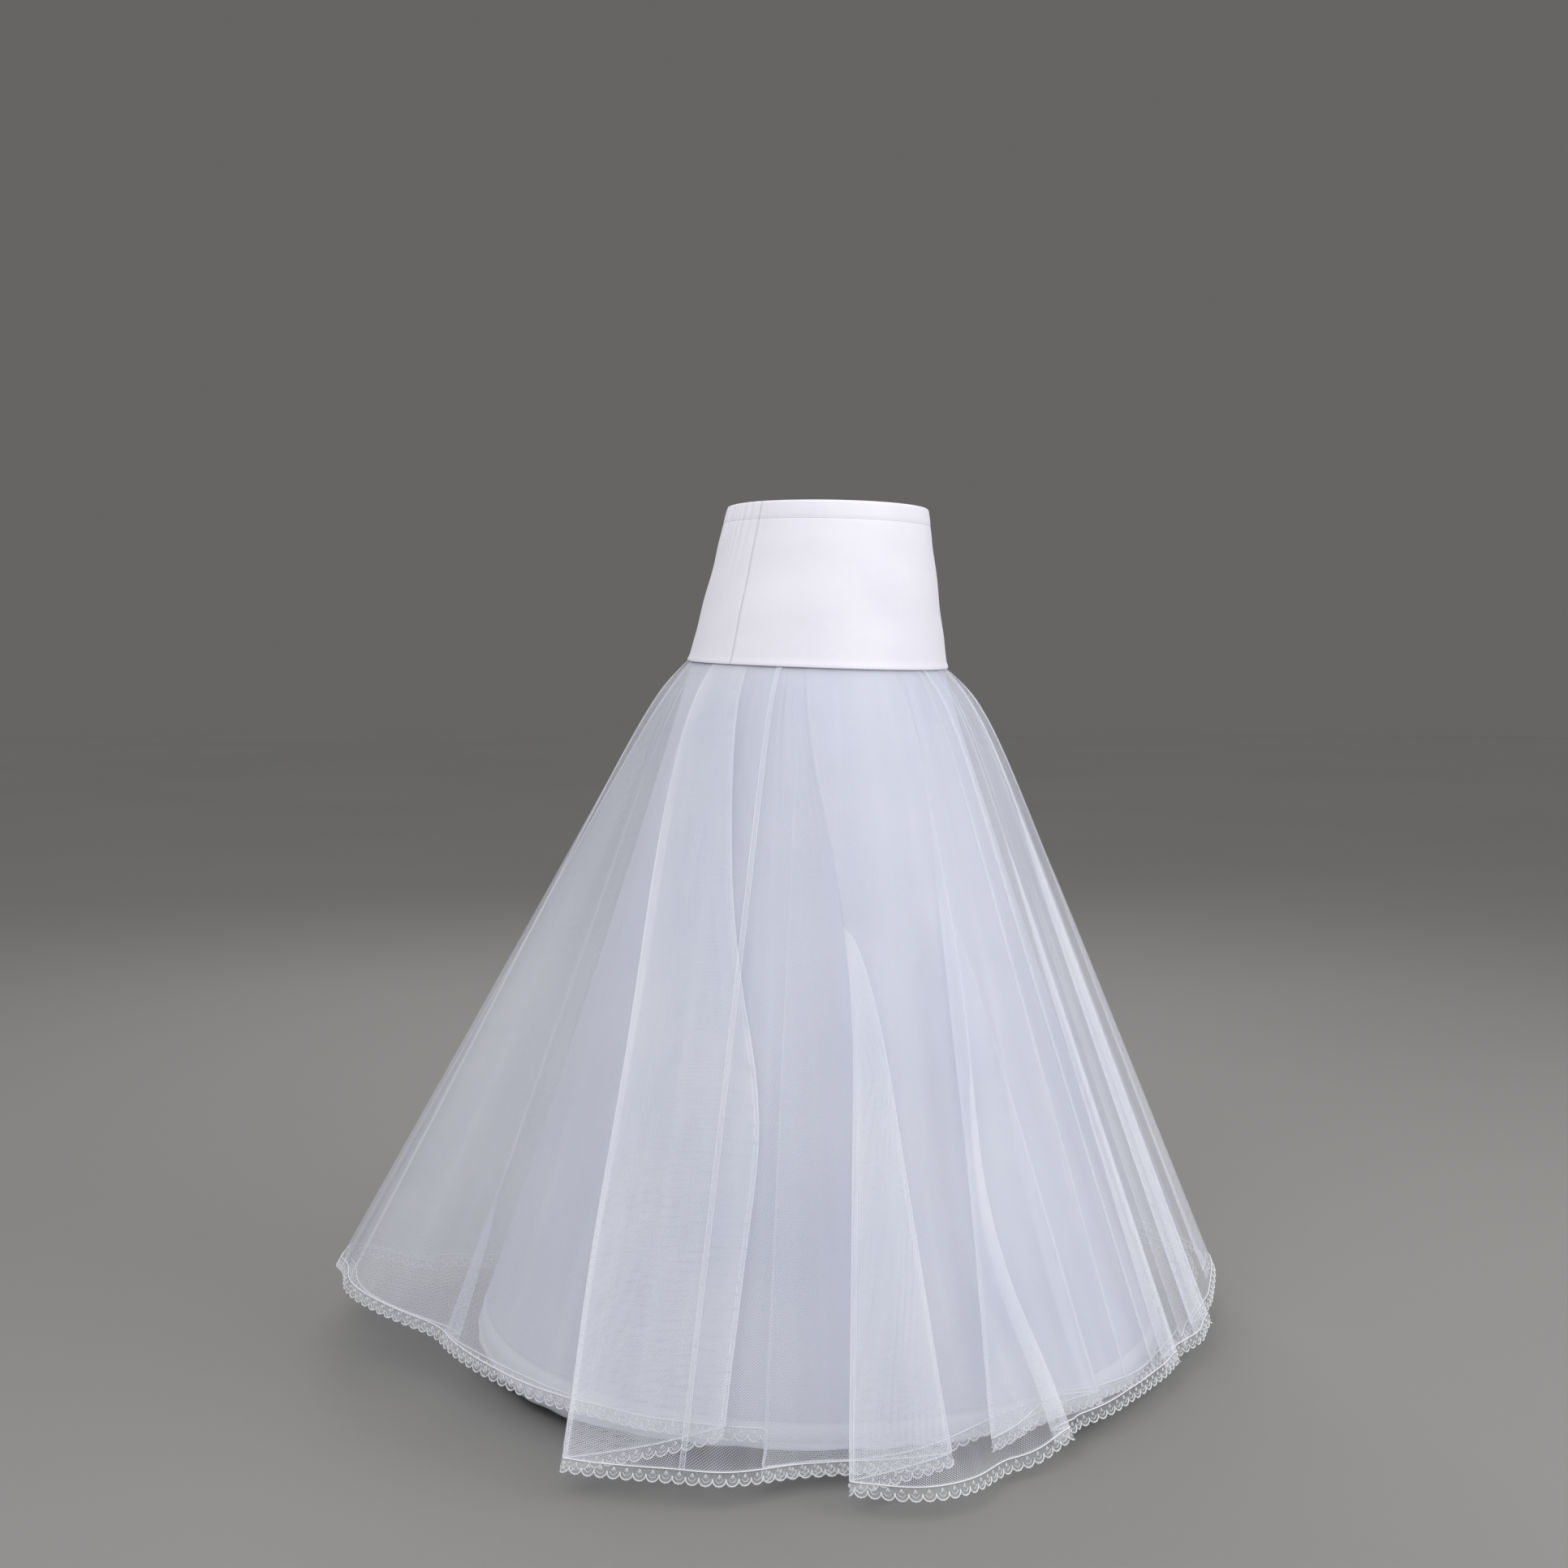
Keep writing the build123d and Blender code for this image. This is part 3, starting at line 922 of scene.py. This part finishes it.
swayShares = [0.0, 0.15, 0.25, 0.45, 0.60, 0.75, 1.0]  # of the way down, for the degrees in sway and laps
netWaves = {  # how many of each kind of wave go round a net
    "long": [9, 14, 23],
    "fine": [41, 58, 77],
    "gathers": [67, 93, 121, 150],
    "streaks": [83, 149, 211, 293],
}
rippling = {"long": 0.8, "fine": 0.35, "full": 0.5}
netRows = {"gathered": 0.12, "top": 13, "low": 47}
gathering = {"full": 0.05, "fade": 0.16}  # shares of the way down
folding = {
    "ease": 0.09,  # share of the way down over which sway and laps are evened out
    "leastLap": 0.15,
    "leastOpen": 0.01,
    "settle": 9,  # degrees in which a ply comes back to the plain fall
    "fullLap": 6,  # degrees of lap from which a crease is at its brightest
    "noStep": 1e3,
}
crease = {
    "roll": 0.0010,
    "stitched": 0.0042,
    "width": 0.0009,
    "stitchedShare": 0.6,
    "away": [0, 0.5, 1, 1.5, 2.2, 3, 3.6, 4.2, 4.8, 5.6, 7],  # columns beside it, in millimetres
}


def netFall(angle, share, net, flareShare, hangShare):
    # radius and height on the plain fall of the cloth, a share of the way from the seam to the hem
    start = ovalRadius(cut["hip"], angle) - net["inset"]
    gap = net["gap"] - net["nearer"][2] * bell(apart(angle, net["nearer"][0]), net["nearer"][1])
    spread = cut["hemRadius"] + cut["netFlare"] * flareShare - gap - start
    drop = seamHeight(angle) - cut["liningHem"]
    caughtUp = net["shorter"][2] * bell(apart(angle, net["shorter"][0]), net["shorter"][1])
    reach = cut["netLength"] * (hangShare - caughtUp) / np.hypot(spread, drop)
    side, width, more = cut["sidePuff"]
    fullness = cut["netPuff"] - net["gap"] * cut["gapPuff"] + more * bell(apart(angle, side), width)
    puff = fullness * (1 - share) / cut["puffPeak"] * (1 - np.exp(-share / cut["puffRise"]))
    return start + spread * reach * share + puff, seamHeight(angle) - drop * reach * share


def foldLines(net, share):
    # for each fold at this share: where the arriving ply ends, where the leaving ply starts, how far it is open
    def onTheWay(degrees):
        return np.interp(share + np.linspace(-folding["ease"], folding["ease"], 7), swayShares, degrees).mean()

    lines = []
    for edge, lap, fromShare, way, _ in net["folds"]:
        opened = np.clip((share - fromShare) / (1 - fromShare), 0, 1)
        sway = onTheWay(net["sway"].get(edge, [0] * len(swayShares)))
        lapNow = folding["leastLap"] + lap * opened ** 0.5
        if edge in net["laps"]:
            lapNow = onTheWay(net["laps"][edge])
        leave = edge + sway if way > 0 else edge + sway - lapNow
        lines.append((leave + lapNow, leave, max(opened, folding["leastOpen"]) ** 0.5))
    return np.array(lines).T


def stretchSteps(length, column, fineStart, fineEnd):
    # shares along one stretch of cloth, closer together beside a fold's bright edge
    count = max(8, int(round(length / column)))
    steps = set(np.round(np.arange(count) / count, 6))
    near = np.array(crease["away"]) / 1000 / length
    if fineStart:
        steps = {step for step in steps if step > near.max()} | set(np.round(near, 6))
    if fineEnd:
        steps = {step for step in steps if step < (1 - near).min()} | set(np.round(1 - near, 6))
    return sorted(step for step in steps if 0 <= step < 1)


def hemRuns(net):
    # the runs of cloth between folds, as angles at the hem, each with the seams that lie on it
    arrive, leave, _ = foldLines(net, 1.0)
    ways = [fold[3] for fold in net["folds"]]
    count = len(ways)
    runs = list(zip(leave, [*arrive[1:], arrive[0] + fullTurn]))
    seams = [[] for _ in runs]
    for seam in net["seams"]:
        within = []
        for index, (start, end) in enumerate(runs):
            following = (index + 1) % count
            for spot in (seam, seam + fullTurn):
                if start + 1 < spot < end - 1:
                    lapped = spot > leave[following] + (fullTurn if following == 0 else 0)
                    out = (ways[index] if spot < arrive[index] else 0) - (ways[following] if lapped else 0)
                    within.append((out, index, spot))
        _, index, spot = max(within)  # where plies lap, the outermost one has the seam
        seams[index].append(spot)
    return runs, [sorted(spots) for spots in seams]


def netColumns(net):
    # every column as a run between folds or a ply that turns back, with its share along that stretch
    arrive, leave, _ = foldLines(net, 1.0)
    ways = [fold[3] for fold in net["folds"]]
    runs, seams = hemRuns(net)
    stretches, sewn = [], []
    for index, (start, end) in enumerate(runs):
        following = (index + 1) % len(ways)
        length = (end - start) * radians(1) * cut["hemReach"]
        back = (arrive[following] - leave[following]) * radians(1) * cut["hemReach"]
        ahead = ways[following] > 0
        runSteps = stretchSteps(length, net["column"], ways[index] > 0, not ahead)
        for seam in seams[index]:
            spot = (seam - start) / (end - start)
            clear = [step for step in runSteps if abs(step - spot) * length > net["column"] * 0.4]
            runSteps = sorted(clear + [spot])
            sewn.append(len(stretches) + runSteps.index(spot))
        backSteps = stretchSteps(back, net["column"], ahead, not ahead)
        stretches += [(index, following, True, step) for step in runSteps]
        stretches += [(index, following, False, step) for step in backSteps]
    return stretches, sorted(sewn)


def creaseGlow(away):
    # the rolled edge of a fold, and the line of its stitching
    roll, stitched = (bell(away - crease[name], crease["width"]) for name in ("roll", "stitched"))
    return roll + crease["stitchedShare"] * stitched


def netGrid(net):
    stretches, sewn = netColumns(net)
    fromFold, toFold, isRun, along = (np.array(values) for values in zip(*stretches))
    runs, seams = hemRuns(net)
    bright = np.array([min(1, fold[1] / folding["fullLap"]) for fold in net["folds"]])
    ways = np.array([fold[3] for fold in net["folds"]])
    wrap = np.where(toFold == 0, fullTurn, 0.0)
    noStep, settle = folding["noStep"], folding["settle"]
    crests = np.array([-noStep if fold[4] is None else fold[0] for fold in net["folds"]])
    valleys = np.array([noStep if fold[4] is None else fold[4] for fold in net["folds"]])
    crest, valley, nextCrest = crests[fromFold], valleys[toFold] + wrap, crests[toFold] + wrap
    round01 = np.arange(len(along)) / len(along)
    longWaves, fineWaves, gathers, streaks = (
        waves(round01, counts, net["seed"] + index) for index, counts in enumerate(netWaves.values())
    )
    streaks = net["streak"] * np.clip(streaks, 0, 1)
    gathered, top, low = netRows["gathered"], netRows["top"], netRows["low"]
    rowShares = [-1.0, -0.5, *np.linspace(0, gathered, top), *np.linspace(gathered, 1, low)[1:]]
    rows, dense = [], []
    for share in rowShares:
        arrive, leave, opened = foldLines(net, max(share, 0.0))
        runStart, runEnd = leave[fromFold], arrive[toFold] + wrap
        backEnd = leave[toFold] + wrap
        angle = runEnd + (backEnd - runEnd) * along
        for index, (start, end) in enumerate(runs):
            chosen = isRun & (fromFold == index)
            ends = runStart[chosen][0], runEnd[chosen][0]
            spots = [0, *[(seam - start) / (end - start) for seam in seams[index]], 1]
            angle[chosen] = np.interp(along[chosen], spots, [ends[0], *seams[index], ends[1]])
        plyNow = net["ply"] * opened
        afterLeave = ways[fromFold] * plyNow[fromFold] * (1 - easeIn((angle - arrive[fromFold]) / settle))
        beforeArrive = -ways[toFold] * plyNow[toFold] * easeIn((angle - (backEnd - settle)) / settle)
        turning = ways[toFold] * plyNow[toFold] * (2 * along - 1)
        ply = np.where(isRun, afterLeave + beforeArrive, turning)
        if share < 0:
            rows.append(tuckedEdge(angle, net["inset"] - ply, -share))
            dense.append(np.zeros_like(angle))
            continue
        # a run keeps to its own side of each step, and the ply that turns back crosses to the other
        near = np.where(isRun, np.clip(angle, crest, valley), np.minimum(runEnd, valley))
        far = np.where(isRun, near, np.maximum(backEnd, nextCrest))
        flare, hang = (
            betweenFolds(near, shares) * (1 - along) + betweenFolds(far, shares) * along
            for shares in (hemFlares, hemHangs)
        )
        radius, height = netFall(angle, share, net, flare, hang)
        gather = net["gather"] * (0.5 + 0.5 * gathers) * easeIn(share / gathering["full"])
        gather = gather * np.exp(-max(share - gathering["full"], 0) / gathering["fade"])
        ripple = longWaves * rippling["long"] + fineWaves * rippling["fine"]
        ripple = net["ripple"] * ripple * easeIn(share / rippling["full"])
        rows.append(place(angle, radius + ply + gather + ripple, height))
        # the crease shows on the ply that lies outermost at each turn
        arc = radians(1) * radius
        span = np.where(isRun, runEnd - runStart, runEnd - backEnd) * arc
        atStart = np.where(isRun, ways[fromFold], ways[toFold]) > 0
        glow = np.where(atStart, creaseGlow(along * span), 0)
        glow = glow + np.where(ways[toFold] < 0, creaseGlow((1 - along) * span), 0)
        shown = opened * bright
        dense.append(streaks + glow * np.where(isRun & (along < 0.5), shown[fromFold], shown[toFold]))
    grid = np.stack(rows)
    kernel = np.array([1, 3, 4, 3, 1], float)
    shifted = [weight * np.roll(grid, step - 2, axis=1) for step, weight in enumerate(kernel)]
    grid[3:] = (sum(shifted) / kernel.sum())[3:]
    return grid, np.stack(dense), sewn


def rowNormals(grid):
    closed = np.concatenate([grid[:, -1:], grid, grid[:, :1]], axis=1)
    side = closed[:, 2:] - closed[:, :-2]
    down = np.gradient(grid, axis=0)
    return unit(np.cross(down, side))


seamStrip = {"halfWidth": 0.0023, "lift": 0.0008, "thread": 0.0002, "threadLift": 0.0003, "dense": 0.06}


def netSeam(grid, normals, column):
    # a sewn strip of net along one seam, with its outward direction
    strips, outs = [], []
    for row, normal in zip(grid, normals):
        closedRow = closeRow(row)
        lengths = lengthsAlong(closedRow, 0)
        spots = lengths[column] + np.linspace(-1, 1, 5) * seamStrip["halfWidth"]
        strips.append(alongRow(closedRow, lengths, spots) + normal[column] * seamStrip["lift"])
        outs.append(normal[column])
    return np.stack(strips), np.stack(outs)


def hangNet(net, prefix):
    material = finishes[net["name"]]
    grid, dense, seamColumns = netGrid(net)
    piece = ringPiece(net["name"], grid, seamColumns, {"dense": dense})
    sewOn(piece, material, "net", *[prefix + name for name in goreNames])
    normals = rowNormals(grid)
    strips, threads = [], []
    for column in seamColumns:
        strip, out = netSeam(grid[2:], normals[2:], column)
        strips.append(strip)
        for side in (0, -1):
            threads.append(strip[:, side] + out * seamStrip["threadLift"])
    meshes = [(strip.reshape(-1, 3), gridFaces(*strip.shape[:2], False)) for strip in strips]
    points, faces = joinMeshes(meshes)
    uvs = np.concatenate([stripUv(strip) for strip in strips])
    marks = {"dense": np.full(len(points), seamStrip["dense"])}
    seams = makePiece(net["name"] + "Seams", points, faces, uvs, marks)
    sewOn(seams, material, "net")
    seamThreads = makePiece(net["name"] + "SeamThreads", *threadTubes(np.stack(threads), seamStrip["thread"]))
    sewOn(seamThreads, finishes["laceCord"], "net")
    print(net["name"], "hung:", grid.shape[1], "columns")
    return piece, seams, seamThreads, grid, normals


outerSkirt, outerSeams, outerSeamThreads, outerRows, outerNormals = hangNet(outerNet, "outer_net_")
innerSkirt, innerSeams, innerSeamThreads, innerRows, innerNormals = hangNet(innerNet, "inner_net_")


# Lace edging: net ground with a scalloped edge, a corded heading, and cords round each scallop
lace = {
    "pitch": 0.0112,
    "above": 0.0016,
    "cusp": 0.0052,
    "tip": 0.0112,
    "steps": 8,
    "groundTopLift": 0.0003,
    "groundLift": 0.0002,
    "groundRows": (0.3, 0.65, 1.0),
    "headingRadius": 0.00055,
    "outerRadius": 0.00052,
    "innerRadius": 0.00034,
    "innerArc": (0.30, 0.72),  # half width and depth as shares of the scallop
    "petal": (0.0018, 0.0030, 0.0034),  # start, sideways reach and downward reach
    "petalLeans": (-0.55, 0.0, 0.55),
    "petalSwell": 1.15,
    "picot": 0.0011,
    "picotHalf": 0.0005,
    "picotRadius": 0.00022,
    "picotSpots": (0.18, 0.34, 0.5, 0.66, 0.82),
    "lift": 0.0006,
}


def laceFrame(grid, normals):
    hem, out = grid[-1], normals[-1]
    closed = [closeRow(values) for values in (hem, unit(hem - grid[-2]), out)]
    return closed, lengthsAlong(closed[0], 0)


def sewLace(name, node, grid, normals):
    (hem, fall, out), lengths = laceFrame(grid, normals)
    count = int(round(lengths[-1] / lace["pitch"]))
    pitch = lengths[-1] / count

    def spot(across, down, lift):
        spots = np.broadcast_arrays(across, down, lift)
        shape = spots[0].shape
        parts = [alongRow(values, lengths, spots[0].ravel()).reshape(*shape, 3) for values in (hem, fall, out)]
        return parts[0] + parts[1] * spots[1][..., None] + parts[2] * spots[2][..., None]

    def cord(across, down, radius, sides=3):
        return threadTubes(spot(across, down, lace["lift"]), radius, sides)

    middle = (np.arange(count) + 0.5) * pitch
    cusp, drop = lace["cusp"], lace["tip"] - lace["cusp"]
    # ground, with its lower edge cut to the scallops
    across = np.arange(count * lace["steps"]) * pitch / lace["steps"]
    turn = (across % pitch) / pitch
    depth = cusp + drop * np.sin(pi * turn) ** 0.75
    rows = [spot(across, -lace["above"], lace["groundTopLift"])]
    rows += [spot(across, depth * share, lace["groundLift"]) for share in lace["groundRows"]]
    ground = np.stack(rows)
    groundPiece = ringPiece(name, ground, [0], {"dense": np.zeros(ground.shape[:2])})
    sewOn(groundPiece, finishes["laceGround"], "lace", node)
    # cords: the heading, two arcs round each scallop, a fan in its middle and loops along its edge
    heading = np.append(np.arange(count * 4), 0) * pitch / 4
    bend = np.linspace(0, pi, 9)
    inner = bend[1:-1]
    half, share = lace["innerArc"]
    meshes = [cord(heading[None], 0.0, lace["headingRadius"], 4)]
    arcAcross = middle[:, None] - pitch / 2 * np.cos(bend)
    meshes.append(cord(arcAcross, cusp + drop * np.sin(bend) ** 0.9, lace["outerRadius"], 4))
    arcAcross = middle[:, None] - pitch * half * np.cos(inner)
    meshes.append(cord(arcAcross, cusp * share + drop * share * np.sin(inner), lace["innerRadius"]))
    start, aside, down = lace["petal"]
    reach = np.array([0.0, 0.5, 1.0])
    for lean in lace["petalLeans"]:
        petalAcross = middle[:, None] + np.sin(lean) * aside * reach
        petalDown = start + np.cos(lean) * down * reach
        meshes.append(cord(petalAcross, petalDown, lace["innerRadius"] * lace["petalSwell"]))
    width = np.array([-1.0, 0.0, 1.0]) * lace["picotHalf"]
    reach = np.array([0.0, lace["picot"], 0.0])
    for share in lace["picotSpots"]:
        rootAcross = middle - pitch / 2 * cos(pi * share)
        rootDown = cusp + drop * sin(pi * share) ** 0.9
        meshes.append(cord(rootAcross[:, None] + width, rootDown + reach, lace["picotRadius"]))
    cords = makePiece(name + "Cords", *joinMeshes(meshes))
    sewOn(cords, finishes["laceCord"], "lace")
    print(name, "sewn:", count, "scallops")
    return groundPiece, cords


outerLace, outerLaceCords = sewLace("outerLace", "outer_lace", outerRows, outerNormals)
innerLace, innerLaceCords = sewLace("innerLace", "inner_lace", innerRows, innerNormals)


# Hoop and its sleeve are the solids themselves
for node, finish in (("hoop_bone", "springSteel"), ("hoop_sleeve", "sleeveSteel")):
    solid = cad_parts[node]
    solid.data.materials.clear()
    solid.data.materials.append(finishes[finish])


# Floor, light and camera
studio = {"floor": -0.858, "reach": 16.0, "sides": 96, "shade": (0.235, 0.231, 0.222), "mottle": 1.04,
          "mottleScale": 0.7, "roughness": 0.9}
lights = {
    "world": 0.55,
    "key": ((-1.9, -0.4, 1.5), 1.8, 33.0),
    "fill": ((0.7, -2.2, 0.6), 2.2, 36.0),
    "rim": ((1.4, 1.6, 1.2), 1.6, 20.0),
    "aim": (0, 0, -0.45),
}


def modelFloor():
    deselectAll()
    bpy.ops.mesh.primitive_circle_add(
        vertices=studio["sides"], radius=studio["reach"], fill_type="NGON", location=(0, 0, 0))
    floor = bpy.context.object
    floor.name = floor.data.name = "floor"
    bpy.ops.object.mode_set(mode="EDIT")
    bpy.ops.mesh.select_all(action="SELECT")
    bpy.ops.transform.translate(value=(0, 0, studio["floor"]))
    bpy.ops.object.mode_set(mode="OBJECT")
    material, tree, shader = newMaterial("studioGrey")
    mottle = placeGroup(tree, softMottle, coordinates(tree).outputs["Object"], Scale=studio["mottleScale"])
    shade = studio["shade"]
    paler = tuple(studio["mottle"] * part for part in shade)
    tree.links.new(mixColours(tree, mottle.outputs["Tone"], shade, paler), shader.inputs["Base Color"])
    shader.inputs["Roughness"].default_value = studio["roughness"]
    floor.data.materials.append(material)


def setWorld():
    # white light all round, with the floor's own grey behind the object where the camera looks past it
    world = bpy.data.worlds.new("studioLight")
    bpy.context.scene.world = world
    world.use_nodes = True
    tree = world.node_tree
    white = next(node for node in tree.nodes if node.type == "BACKGROUND")
    white.inputs["Color"].default_value = (1, 1, 1, 1)
    white.inputs["Strength"].default_value = lights["world"]
    grey = tree.nodes.new("ShaderNodeBackground")
    grey.inputs["Color"].default_value = (*[part * (1 + studio["mottle"]) / 2 for part in studio["shade"]], 1)
    grey.inputs["Strength"].default_value = lights["world"]
    path = tree.nodes.new("ShaderNodeLightPath")
    seen = mathNode(tree, "ADD", path.outputs["Is Camera Ray"], path.outputs["Is Glossy Ray"])
    seen = mathNode(tree, "ADD", seen, path.outputs["Is Transmission Ray"], clamp=True)
    mix = tree.nodes.new("ShaderNodeMixShader")
    tree.links.new(seen, mix.inputs[0])
    tree.links.new(white.outputs[0], mix.inputs[1])
    tree.links.new(grey.outputs[0], mix.inputs[2])
    output = next(node for node in tree.nodes if node.type == "OUTPUT_WORLD")
    tree.links.new(mix.outputs[0], output.inputs["Surface"])


modelFloor()
setWorld()
lookAt = Vector(lights["aim"])
for lightName in ("key", "fill", "rim"):
    spot, size, power = lights[lightName]
    lamp = bpy.data.lights.new(lightName, "AREA")
    lamp.size, lamp.energy = size, power
    holder = bpy.data.objects.new(lightName, lamp)
    holder.location = spot
    holder.rotation_mode = "QUATERNION"
    holder.rotation_quaternion = (lookAt - Vector(spot)).to_track_quat("-Z", "Y")
    bpy.context.scene.collection.objects.link(holder)

camera = {
    "focal": 2200.0,
    "side": 1932.0,
    "sensor": 36.0,
    "spot": (-1.514, -1.061, -0.154),
    "axisPixel": 1022.0,
    "pitch": 4.0,
    "clip": (0.05, 60.0),
}


def setCamera():
    lens = bpy.data.cameras.new("camera")
    lens.sensor_fit = "HORIZONTAL"
    lens.sensor_width = camera["sensor"]
    lens.lens = camera["focal"] / camera["side"] * camera["sensor"]
    lens.clip_start, lens.clip_end = camera["clip"]
    holder = bpy.data.objects.new("camera", lens)
    spot = Vector(camera["spot"])
    back = Vector((spot.x, spot.y, 0)).normalized()
    right = Vector((-back.y, back.x, 0))
    yaw = atan((camera["axisPixel"] - camera["side"] / 2) / camera["focal"])
    ahead = -cos(yaw) * back - sin(yaw) * right
    right = ahead.cross(Vector((0, 0, 1))).normalized()
    pitch = radians(camera["pitch"])
    look = ahead * cos(pitch) - Vector((0, 0, 1)) * sin(pitch)
    up = right.cross(look)
    turned = Matrix((right, up, -look)).transposed().to_4x4()
    holder.matrix_world = Matrix.Translation(spot) @ turned
    bpy.context.scene.collection.objects.link(holder)
    bpy.context.scene.camera = holder


setCamera()
bpy.context.scene.view_settings.view_transform = "Standard"
bpy.context.scene.cycles.transparent_max_bounces = 24  # a sight line meets a dozen plies of net and more
print("studio set")
